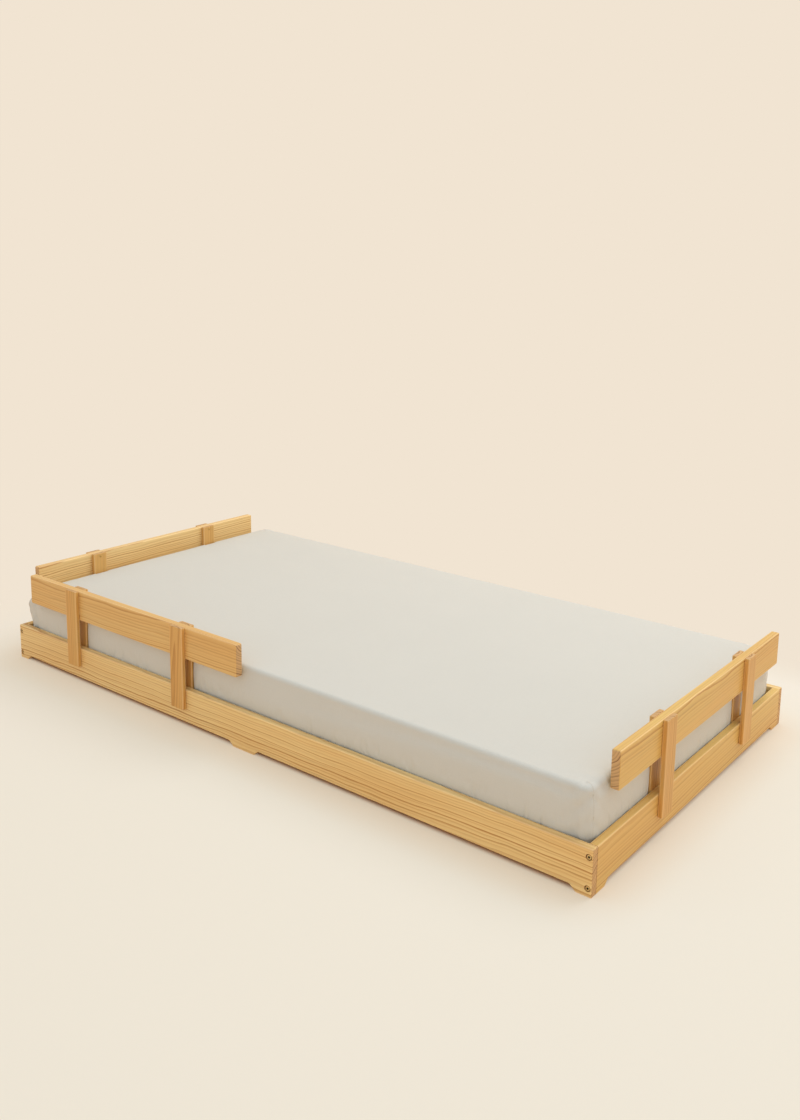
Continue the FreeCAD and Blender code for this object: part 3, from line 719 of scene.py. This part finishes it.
def lay_block(name):
    """The closed block, with each point's flat place in its UV map, and marks for the seams and the hem."""
    shape = bmesh.new()
    inner = shape.faces.layers.int.new("inside_hem")
    seam = shape.verts.layers.int.new("seam")
    cloth_map = shape.loops.layers.uv.new("cloth")
    flat = {}

    def point(place, cloth):
        made = shape.verts.new(place + MIDDLE)
        flat[made] = cloth
        return made

    def lay_grid(height, run):
        made = {}
        for i, x in enumerate(xs):
            for j, y in enumerate(ys):
                out = Vector((0, 0))
                if run:
                    gaps = (xs[-1] - abs(x), ys[-1] - abs(y))
                    axis = 0 if gaps[0] < gaps[1] else 1
                    out[axis] = math.copysign(run + 2 * gaps[axis], (x, y)[axis])
                made[i, j] = point(Vector((x, y, height)), (x + out.x, y + out.y))
        return made

    def border(grid):
        """The grid's edge in the order of a loop, its corners repeated for the fans."""
        last_x, last_y = len(xs) - 1, len(ys) - 1
        rim = [grid[last_x, last_y]] * ARC_STEPS + [grid[i, last_y] for i in range(last_x, 0, -1)]
        rim += [grid[0, last_y]] * ARC_STEPS + [grid[0, j] for j in range(last_y, 0, -1)]
        rim += [grid[0, 0]] * ARC_STEPS + [grid[i, 0] for i in range(last_x)]
        return rim + [grid[last_x, 0]] * ARC_STEPS + [grid[last_x, j] for j in range(last_y)]

    rows = rows_down()
    top = lay_grid(HALF.z, 0)
    bottom = lay_grid(-HALF.z, rows[-1][2] + 2 * (CORNER - rows[-1][0]))
    loops = [border(top)]
    loops += [[point(place, cloth) for place, cloth in loop_points(*row)] for row in rows]
    starts = np.cumsum([0] + [ARC_STEPS + n - 1 for n in (len(xs), len(ys), len(xs))])
    for number, loop in enumerate(loops[1:], 1):
        for side, (start, step) in enumerate(zip(starts, SEAM_PLACES), 1):
            loop[start + step][seam] = side * SEAM_STEP + number
    loops.append(border(bottom))
    for grid, upward in ((top, True), (bottom, False)):
        for i in range(len(xs) - 1):
            for j in range(len(ys) - 1):
                ring = [grid[i, j], grid[i + 1, j], grid[i + 1, j + 1], grid[i, j + 1]]
                face = shape.faces.new(ring if upward else ring[::-1])
                gap_x = xs[-1] - max(abs(xs[i]), abs(xs[i + 1]))
                gap_y = ys[-1] - max(abs(ys[j]), abs(ys[j + 1]))
                face[inner] = int(not upward and min(gap_x, gap_y) > HEM - CORNER)
    for upper, lower in zip(loops, loops[1:]):
        for i in range(len(upper)):
            j = (i + 1) % len(upper)
            ring = list(dict.fromkeys((upper[i], lower[i], lower[j], upper[j])))
            if len(ring) > 2:
                shape.faces.new(ring)
    for face in shape.faces:
        for loop in face.loops:
            loop[cloth_map].uv = flat[loop.vert]
        face.smooth = True
    return put_shape(name, shape)


block = lay_block("soft_block")
print("block", len(block.data.vertices), "points", len(block.data.polygons), "faces")

# %% [markdown]
# An inner upright is 12 mm thick, and the foam is nearly as wide as the room between the rails, so each
# upright presses a dent as deep as itself into the mattress. Foam bends gently on both sides of what
# presses it, and its top edge dips a little there. The four upright corners differ too: the two in front
# are pulled square by the sheet's corner seams, and the far one at the foot is slack.

# %% Press the uprights in
DENT_FADE = 0.8 * MM
DENT_REACH = 34 * MM
DENT_DIP = MM


def press_uprights(points):
    """The points with the dents of the inner uprights, and how much of a dent each point is in."""
    pressed = points.copy()
    dented = np.zeros(len(points))
    for low, high in uprights:
        long_side = high.x - low.x > high.y - low.y
        run, deep = (0, 1) if long_side else (1, 0)
        sign = 1 if (low[deep] + high[deep]) / 2 > MIDDLE[deep] else -1
        wall = HIGH[deep] if sign > 0 else LOW[deep]
        inner_face = low[deep] if sign > 0 else high[deep]
        depth = abs(wall - inner_face) + CLEAR
        beside = np.abs(points[:, run] - (low[run] + high[run]) / 2) - (high[run] - low[run]) / 2 - CLEAR
        fall = np.exp(-((np.maximum(beside, 0) / DENT_FADE) ** 1.5))
        inset = sign * (wall - points[:, deep])
        share = np.clip(1 - inset / DENT_REACH, 0, 1) ** 2
        pressed[:, deep] -= sign * depth * fall * share
        rise = np.clip((points[:, 2] - MIDDLE.z) / HALF.z, 0, 1) ** 4
        pressed[:, 2] -= DENT_DIP * fall * share * rise
        dented = np.maximum(dented, fall * share)
    return pressed, dented


PULL_REACH = 30 * MM
PULLS = (-4.5 * MM, 0, 3.5 * MM, 1 * MM)


def pull_corners(points):
    """The points with the upright corners drawn square by seams, or drawn in where the corner is slack."""
    pulled = points.copy()
    for signs, pull in zip(CORNER_SIGNS, PULLS):
        gaps = [HALF[i] - signs[i] * (points[:, i] - MIDDLE[i]) for i in (0, 1)]
        near = np.exp(-(gaps[0] ** 2 + gaps[1] ** 2) / PULL_REACH**2)
        low_enough = np.clip((HIGH.z - points[:, 2]) / RIM, 0.3, 1)
        for i in (0, 1):
            pulled[:, i] += signs[i] * pull * near * low_enough
    for i in (0, 1):
        pulled[:, i] = np.clip(pulled[:, i], LOW[i], HIGH[i])
    return pulled


flat_points = pull_corners(points_of(block.data))
dented_points, dented = press_uprights(flat_points)

# %% [markdown]
# The block starts a little small, and a short cloth simulation with air pressure in it fills it out, as
# foam fills a cover: the panels crown and the walls round out between what holds them. The underside rests
# on the slats and the dents rest on the uprights, so those points are pinned. A block of foam gives far
# less than a balloon, so the top keeps the swelling's shape at a small size, and the walls only a little
# of it, so that nothing grows into the rails. Above the rails the wall is free, and rounds out a bit more.

# %% Swell the block
SMALLER = 2.2 * MM
TOP_SMALLER = 3.2 * MM
SIDE_CAP = 1.8 * MM
TOP_CAP = 4.2 * MM
BULGE = 3.2 * MM
BULGE_LOW, BULGE_HIGH = 90 * MM, 190 * MM
AIR, FRAMES = 4, 20


def put_points(mesh, points):
    """Moves a mesh's points to these places."""
    mesh.vertices.foreach_set("co", np.asarray(points, np.float32).ravel())
    mesh.update()


def swell(piece, held):
    """Runs Cloth with pressure on a piece, with the held share of each point pinned, and applies it."""
    group = piece.vertex_groups.new(name="held")
    for index, weight in enumerate(held):
        if weight > 0:
            group.add([index], float(weight), "REPLACE")
    cloth = piece.modifiers.new("cloth", "CLOTH")
    settings = cloth.settings
    settings.quality = 4
    settings.use_pressure = True
    settings.uniform_pressure_force = AIR
    settings.effector_weights.gravity = 0
    settings.vertex_group_mass = "held"
    cloth.point_cache.frame_start, cloth.point_cache.frame_end = 1, FRAMES
    scene = bpy.context.scene
    for step in range(1, FRAMES + 1):
        scene.frame_set(step)
    swollen = points_of(made_by_modifiers(piece))
    piece.modifiers.clear()
    piece.vertex_groups.clear()
    scene.frame_set(1)
    return swollen


rise = np.clip((dented_points[:, 2] - MIDDLE.z) / HALF.z, 0, 1)
inset_from_wall = np.minimum(
    HALF.x - np.abs(flat_points[:, 0] - MIDDLE.x), HALF.y - np.abs(flat_points[:, 1] - MIDDLE.y)
)
on_wall = np.clip(1 - inset_from_wall / RIM, 0, 1)
start = dented_points.copy()
for axis in (0, 1):
    away = np.clip((flat_points[:, axis] - MIDDLE[axis]) / HALF[axis], -1, 1)
    start[:, axis] -= np.sign(away) * np.abs(away) ** 8 * SMALLER
start[:, 2] -= rise**6 * TOP_SMALLER
put_points(block.data, start)
under = flat_points[:, 2] < LOW.z + 2 * MM
in_dent = np.clip(dented * 1.4, 0, 1)
held = np.where(under, 1, in_dent)
settled = swell(block, held)
moved = settled - start
length = np.linalg.norm(moved, axis=1)
side_part = SIDE_CAP * np.tanh(length / SIDE_CAP)
top_part = TOP_CAP * length / length.max()
kept = (side_part * on_wall + top_part * rise**6 * (1 - on_wall)) * (1 - held)
settled = start + moved * (kept / np.maximum(length, 1e-9))[:, None]
print("the air alone swells it by", round(length.max() / MM), "mm; kept", round(kept.max() / MM, 1), "mm")
bare = np.clip((settled[:, 2] - BULGE_LOW) / (BULGE_HIGH - BULGE_LOW), 0, 1)
bulge = BULGE * np.maximum(np.sin(math.pi * bare), 0) ** 0.5 * on_wall * (1 - in_dent)
for axis in (0, 1):
    away = (flat_points[:, axis] - MIDDLE[axis]) / HALF[axis]
    settled[:, axis] += np.sign(away) * bulge * (np.abs(away) > 1 - RIM / HALF[axis])

# %% [markdown]
# A tight sheet still shows where it is pulled: faint hollows across the top, short folds that fan out from
# the corners, and small puckers above the rail where the hem pulls. They press into the foam, so the sheet
# and the mattress share them. No wall passes the rails' inner faces, so the guards slide up past it.


# %% Pull the sheet's folds
HOLLOW, PUCKER, SEAM_FOLD, CORNER_FOLD = 0.7 * MM, 2.6 * MM, 6 * MM, 2.4 * MM
ROOM = 1.5 * MM
TUCK_WIDTH = 37 * MM
TUCKS = (((-1, -1), 28 * MM, 152 * MM), ((-1, 1), 6 * MM, 150 * MM), ((1, 1), 4 * MM, 160 * MM))


def fold_depth(place):
    """How deep the cloth is drawn in at a place, in metres."""
    x, y, z = place
    depth = HOLLOW * (1 + smooth_noise(Vector((x * 3.1, y * 4.3, z * 5))))
    gap_x, gap_y = HALF.x - abs(x - MIDDLE.x), HALF.y - abs(y - MIDDLE.y)
    along = x if gap_y < gap_x else y
    if min(gap_x, gap_y) < 40 * MM:
        low = 1 - np.clip((z - LOW.z) / (85 * MM), 0, 1)
        pucker = smooth_noise(Vector((along * 34, z * 9, 3 if gap_y < gap_x else 8)))
        depth += PUCKER * low * max(pucker, 0) ** 1.5
        from_corner = max(gap_x, gap_y)
        corner = math.exp(-((from_corner - 20 * MM) / (85 * MM)) ** 2)
        high = np.clip((HIGH.z - 12 * MM - z) / (40 * MM), 0, 1)
        if gap_y < gap_x:
            depth += SEAM_FOLD * high * math.exp(-((from_corner - 34 * MM) / (14 * MM)) ** 2)
        lean = along * (1 if x * y * (1 if gap_y < gap_x else -1) > 0 else -1)
        fold = math.sin((lean * 0.8 + z) * 150 + 3 * smooth_noise(Vector((x * 9, y * 9, z * 9))))
        depth += CORNER_FOLD * corner * max(fold, 0) ** 2 * (1 - low * 0.4)
    return depth


def fold_in(points, normals):
    """The points drawn in by the folds, apart from those on the slats."""
    depths = np.array([fold_depth(place) for place in points])
    depths *= np.where(points[:, 2] < LOW.z + 3 * MM, 0, 1)
    return points - normals * depths[:, None]


def tuck(points, signs, size, height):
    """The points with the spare cloth of one corner, which stands out by size beside the seam, at height."""
    gap_x, gap_y = (HALF[i] - signs[i] * (points[:, i] - MIDDLE[i]) for i in (0, 1))
    beside = np.clip((gap_y - 3 * MM) / (8 * MM), 0, 1) ** 2
    beside *= np.exp(-(((gap_y - 12 * MM) / (15 * MM)) ** 2))
    beside *= np.clip((TUCK_WIDTH - gap_y) / (8 * MM), 0, 1)
    level = np.exp(-(((points[:, 2] - height) / (30 * MM)) ** 2))
    tucked = points.copy()
    tucked[:, 0] += signs[0] * size * beside * level * np.clip(1 - gap_x / (16 * MM), 0, 1)
    return tucked


put_points(block.data, settled)
folded = fold_in(settled, points_of(block.data, "normal"))
RAILS = (("head_rail", "foot_rail"), ("front_side_rail", "back_side_rail"))
for axis, (low_rail, high_rail) in enumerate(RAILS):
    low_face, high_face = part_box(low_rail)[1][axis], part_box(high_rail)[0][axis]
    folded[:, axis] = np.clip(folded[:, axis], low_face + ROOM, high_face - ROOM)
for signs, size, height in TUCKS:
    folded = tuck(folded, signs, size, height)
print("walls kept", ROOM / MM, "mm inside the rails' inner faces")
put_points(block.data, folded)


# %% [markdown]
# The mattress is the block itself. The sheet is its skin without the middle of the underside, a third of a
# millimetre off the mattress, and given the thickness of cotton.

# %% The mattress and the sheet as pieces
def skin(name, keep_all, lift):
    """A copy of the block's surface, whole or open inside the hem, moved outwards by lift."""
    mesh = block.data.copy()
    mesh.name = name
    put_points(mesh, folded + points_of(block.data, "normal") * lift)
    shape = bmesh.new()
    shape.from_mesh(mesh)
    if not keep_all:
        inner = shape.faces.layers.int["inside_hem"]
        middle = [face for face in shape.faces if face[inner]]
        bmesh.ops.delete(shape, geom=middle, context="FACES")
    shape.faces.layers.int.remove(shape.faces.layers.int["inside_hem"])
    shape.to_mesh(mesh)
    shape.free()
    return put(name, mesh)


mattress = skin("foam_mattress", True, -0.1 * MM)
sheet = skin("cotton_sheet", False, 0.25 * MM)


def seam_paths(mesh):
    """The points down each corner seam, from the top to the underside."""
    numbers = np.zeros(len(mesh.vertices), np.int32)
    mesh.attributes["seam"].data.foreach_get("value", numbers)
    order = np.argsort(numbers)
    places = points_of(mesh)
    return [places[[i for i in order if numbers[i] // SEAM_STEP == side]] for side in range(1, 5)]


def hem_path(mesh):
    """The points round the sheet's open edge, in order."""
    shape = bmesh.new()
    shape.from_mesh(mesh)
    edges = {edge for edge in shape.edges if edge.is_boundary}
    here = first = next(iter(sorted(edges, key=lambda e: e.index))).verts[0]
    path = []
    while not path or here is not first:
        path.append(list(here.co))
        step = next(edge for edge in here.link_edges if edge in edges)
        edges.discard(step)
        here = step.other_vert(here)
    shape.free()
    return np.array(path)


seams = seam_paths(sheet.data)
hem = hem_path(sheet.data)
print(len(hem), "points round the hem,", [len(seam) for seam in seams], "down the seams")
for mesh in (mattress.data, sheet.data):
    mesh.attributes.remove(mesh.attributes["seam"])
cotton_wall = sheet.modifiers.new("cotton", "SOLIDIFY")
cotton_wall.thickness = 0.7 * MM
cotton_wall.offset = 1
bpy.data.objects.remove(block)

# %% [markdown]
# Cotton is a plain weave: two sets of fine threads that pass over and under each other. Both follow the
# cloth through its UV map, so the weave turns over the edge with the sheet. Slubs, which are threads a
# little thicker than the rest, and a faint unevenness keep it from looking printed.


# %% The cotton and the ticking
def woven(name, colour, shadow, pitch, relief, gathers=0):
    """Woven cloth, with painted shade where its threads dip under. pitch is its threads' spacing in metres,
    relief and gathers millimetres.
    """
    finish = Finish(name)
    along, across, _ = finish.parts(finish.node("ShaderNodeUVMap", {"uv_map": "cloth"}))
    wave_a = (along * (math.tau / pitch)).math("SINE")
    wave_b = (across * (math.tau / pitch)).math("SINE")
    over = wave_a * wave_b * 0.5 + 0.5
    slub = finish.noise(finish.join(along * 900, across * 22, 0), 1, 1) - 0.5
    slub = slub + finish.noise(finish.join(along * 22, across * 900, 5), 1, 1) - 0.5
    place = finish.place()
    cloud = finish.noise(place, 6, 3) - 0.5
    # Threads that dip under get the darker shadow colour: painted shade in the weave.
    tone = finish.mix(over * 0.5 + 0.5, shadow, colour)
    tone = finish.shade(tone, 1 + slub * 0.05 + cloud * 0.03)
    x, y, z = finish.parts(place)
    crease = finish.noise(finish.join(x * 48, y * 48, z * 14), 1, 1).smooth(0.48, 0.72)
    height = over * relief + slub * relief - crease * (1 - z.smooth(0.11, 0.15)) * gathers
    sockets = {"Base Color": tone, "Roughness": 0.85 + slub * 0.1, "Sheen Weight": 0.15}
    return finish.done(sockets, height)


cotton = woven("pale_cotton", (213, 217, 215), (200, 203, 201), 0.6 * MM, 0.05, 2.2)
ticking = woven("mattress_ticking", (238, 235, 228), (222, 218, 208), 1.6 * MM, 0.2)
for piece, finish, node, slot in (
    (mattress, ticking, "mattress", "mattress_foam"),
    (sheet, cotton, "fitted_sheet", "sheet_cotton"),
):
    piece.data.materials.append(finish)
    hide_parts(node)
    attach(piece, "mattress")

# %% [markdown]
# A fitted sheet is sewn in two places. Its four corners are darts, each closed by a seam that stands up a
# little, and elastic runs in a narrow casing round its open edge, under the mattress, where it gathers the
# cloth. Both are a band swept along a path with turns of thread over it, which is again work for Geometry
# Nodes: one tree, with the band's width and thickness, the thread's turn and its spacing as inputs.


# %% The tree that sweeps a band along a path and sews it
def sewing_tree():
    inputs = {"Width": "Float", "Thickness": "Float", "Turn": "Object", "Spacing": "Float"}
    tree, given = new_tree("sewing", {**inputs, "Finish": "Material"})
    path = tree.node("GeometryNodeMeshToCurve", None, {"Mesh": given["Geometry"]})
    level = tree.node("GeometryNodeSetCurveNormal", {"mode": "Z_UP"}, {"Curve": path})
    ring = tree.node("GeometryNodeCurvePrimitiveCircle", None, {"Resolution": 8, "Radius": 0.5})
    size = tree.node("ShaderNodeCombineXYZ", None, {0: given["Width"], 1: given["Thickness"], 2: 1.0})
    profile = tree.node("GeometryNodeTransform", None, {"Geometry": ring, "Scale": size})
    sweep_inputs = {"Curve": level, "Profile Curve": profile, "Fill Caps": True}
    band = tree.node("GeometryNodeCurveToMesh", None, sweep_inputs)
    even_inputs = {"Curve": path, "Length": given["Spacing"]}
    even = tree.node("GeometryNodeResampleCurve", {"mode": "LENGTH"}, even_inputs)
    tangent = tree.node("GeometryNodeInputTangent")
    aimed = tree.node("FunctionNodeAlignRotationToVector", {"axis": "X"}, {"Vector": tangent})
    reach = tree.node("ShaderNodeCombineXYZ", None, {0: 1.0, 1: given["Width"], 2: given["Thickness"]})
    piece = tree.node("GeometryNodeObjectInfo", None, {"Object": given["Turn"]}, "Geometry")
    turn_inputs = {"Points": even, "Instance": piece, "Rotation": aimed, "Scale": reach}
    turns = tree.node("GeometryNodeInstanceOnPoints", None, turn_inputs)
    both = tree.node("GeometryNodeJoinGeometry", None, {0: band})
    tree.graph.links.new(turns.socket, both.socket.node.inputs[0])
    return end_tree(tree, both, given["Finish"])


def thread_turn():
    """One turn of thread round a band of width and thickness 1, across x."""
    rows = [(-0.3 * MM, 0.5), (-0.15 * MM, 0.62), (0.15 * MM, 0.62), (0.3 * MM, 0.5)]
    turn = turned("thread_turn", rows, 8)
    turn.data.transform(Matrix.Rotation(math.pi / 2, 4, "Y"))
    return turn


def path_object(label, paths, closed):
    """Paths as one object of points and edges."""
    places, edges = [], []
    for path in paths:
        first = len(places)
        places += [tuple(place) for place in path]
        edges += [(first + i, first + i + 1) for i in range(len(path) - 1)]
        if closed:
            edges.append((len(places) - 1, first))
    mesh = bpy.data.meshes.new(label)
    mesh.from_pydata(places, edges, [])
    return put(label, mesh)


# %% Sew the corners and the hem
thread = Finish("cotton_thread")
fuzz = thread.noise(thread.place(), 2500)
tone = thread.mix(fuzz.smooth(0.3, 0.7), (196, 193, 186), (216, 214, 208))
thread_look = thread.done({"Base Color": tone, "Roughness": 0.8 + fuzz * 0.15}, fuzz * 0.15)

RUFFLE, RUFFLE_UP = 2 * MM, 0.4 * MM
ruffled = hem.copy()
for i, (x, y, z) in enumerate(hem):
    ruffled[i] += RUFFLE * smooth_noise(Vector((x * 40, y * 40, 1))) * np.sign([x, y, 0])
    ruffled[i, 2] = LOW.z - 0.1 * MM + RUFFLE_UP * smooth_noise(Vector((x * 60, y * 60, 5)))
sewing = sewing_tree()
turn = thread_turn()
for label, paths, closed, width, thickness, spacing in (
    ("corner_seams", seams, False, 2 * MM, 2 * MM, 3 * MM),
    ("elastic_hem", [ruffled], True, 9 * MM, 1.6 * MM, 4 * MM),
):
    values = {"Width": width, "Thickness": thickness, "Turn": turn, "Spacing": spacing}
    values["Finish"] = thread_look
    piece = settle(path_object(label + "_path", paths, closed), sewing, values)
    piece.name = label
    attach(piece, "mattress")
    print(label, len(piece.data.polygons), "faces")
bpy.data.objects.remove(turn)

width, length = (2 * (HALF[i] + 2 * HALF.z + HEM) for i in (1, 0))
cut_corner = 2 * HALF.z + HEM
round(width * length - 4 * cut_corner**2, 3)
print("the flat sheet:", round(width, 3), "by", round(length, 3), "m")

# %% [markdown]
# ## Floor and light
#
# The floor runs on into the backdrop as one pale sweep. It is a plain matt cream, and part of what the
# camera sees of it is its own even colour, which keeps the shadows soft and lets the far floor run into the
# backdrop without a line. Close to the wood it is painted a warm brown where the bed closes it in: a painted
# shade that stands for the shade there and the warm light bounced from the wood. The light is a large soft
# lamp above and behind the foot end, with a pale surround that fills the shadows.

# %% The sweep
FLOOR_LIT = (236, 237, 236)
# Painted shade: a warm brown mixed into the floor where the bed closes it in, for shade and light bounced
# off the wood.
FLOOR_PAINTED_SHADE = (224, 170, 102)
FLOOR_EVEN = (239, 228, 205)
FLOOR_BOUNCE = (246, 217, 182)
BACKDROP = (241, 228, 210)
FLOOR_FRONT, FLOOR_SIDE, BACK_WALL, BEND, WALL_TOP = -6, 14, 3.2, 1.5, 9
PAINTED_SHADE_REACH = 0.12
BED_HALF = Vector((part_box("front_side_rail")[1].x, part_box("back_side_rail")[1].y - MIDDLE.y))


def sight(tree):
    """1 for what the camera sees, straight or in a reflection, and 0 for what only lights the bed."""
    straight = tree.node("ShaderNodeLightPath", output="Is Camera Ray")
    return straight.math("MAXIMUM", tree.node("ShaderNodeLightPath", output="Is Glossy Ray"))


def cream():
    """The sweep's own colour in the light, painted warmer and darker close to the bed as painted shade, and
    an even tone that takes over behind and far from the bed.
    """
    floor = Finish("cream_sweep")
    seen = sight(floor)
    # How closed in the floor is near the bed, which sets how much painted shade it gets.
    contact_shade = 1 - floor.node("ShaderNodeAmbientOcclusion", None, {"Distance": PAINTED_SHADE_REACH}, "AO")
    tone = floor.mix(seen, FLOOR_BOUNCE, floor.mix(contact_shade * 0.8, FLOOR_LIT, FLOOR_PAINTED_SHADE))
    matt = floor.node("ShaderNodeBsdfDiffuse", None, {"Color": tone})
    x, y, _ = floor.parts(floor.place())
    outside = (abs(x) - BED_HALF.x).math("MAXIMUM", abs(y - MIDDLE.y) - BED_HALF.y)
    behind = (x * facing.x + y * facing.y).smooth(-0.6, 0.1) * outside.smooth(0.05, 0.5)
    far = behind.math("MAXIMUM", outside.smooth(2, 5))
    even = floor.node("ShaderNodeEmission", None, {"Color": floor.mix(far, FLOOR_EVEN, BACKDROP)})
    share = seen * (outside.smooth(-0.018, 0) * 0.5).math("MAXIMUM", far)
    blended = floor.node("ShaderNodeMixShader", None, {0: share, 1: matt, 2: even})
    floor.node("ShaderNodeOutputMaterial", None, {"Surface": blended})
    return floor.material


bend_angles = np.linspace(0.1, math.pi / 2, 12)
sweep_rows = [(FLOOR_FRONT, 0), (BACK_WALL, 0)]
sweep_rows += [(BACK_WALL + BEND * math.sin(a), BEND * (1 - math.cos(a))) for a in bend_angles]
sweep_rows += [(BACK_WALL + BEND, WALL_TOP)]
facing = Vector((-math.sin(AZIMUTH), math.cos(AZIMUTH)))
beside = Vector((facing.y, -facing.x))
corners = []
for distance, height in sweep_rows:
    for side in (-FLOOR_SIDE, FLOOR_SIDE):
        spot = facing * distance + beside * side
        corners.append((spot.x, spot.y, height))
faces = [(2 * i, 2 * i + 1, 2 * i + 3, 2 * i + 2) for i in range(len(sweep_rows) - 1)]
sweep = put("sweep", bpy.data.meshes.new("sweep"))
sweep.data.from_pydata(corners, [], faces)
for face in sweep.data.polygons:
    face.use_smooth = True
sweep.data.materials.append(cream())
print("sweep", len(faces), "faces")

# %% Lamp and surround
LAMP_PLACE = Vector((1.2, 2.6, 4.6))
LAMP_AIM = Vector((0, 0, 0.1))
LAMP_WATTS, LAMP_WIDTH = 125, 4
SURROUND_LIGHT = 0.79

lamp_data = bpy.data.lights.new("soft_lamp", "AREA")
lamp_data.shape = "DISK"
lamp_data.size = LAMP_WIDTH
lamp_data.energy = LAMP_WATTS
lamp_data.color = (1.0, 0.99, 0.96)
lamp = put("soft_lamp", lamp_data)
lamp.location = LAMP_PLACE
lamp.rotation_euler = (LAMP_AIM - LAMP_PLACE).to_track_quat("-Z", "Y").to_euler()

world = bpy.data.worlds.new("surround")
world.use_nodes = True
surround = Tree(world.node_tree)
surround.graph.nodes.clear()
light_inputs = {"Color": linear((255, 252, 246)), "Strength": SURROUND_LIGHT}
light = surround.node("ShaderNodeBackground", None, light_inputs)
pale = surround.node("ShaderNodeBackground", None, {"Color": linear(BACKDROP)})
either = surround.node("ShaderNodeMixShader", None, {0: sight(surround), 1: light, 2: pale})
surround.node("ShaderNodeOutputWorld", None, {"Surface": either})
bpy.context.scene.world = world
bpy.context.scene.view_settings.view_transform = "Standard"
print("lamp", LAMP_WATTS, "W, surround", SURROUND_LIGHT)
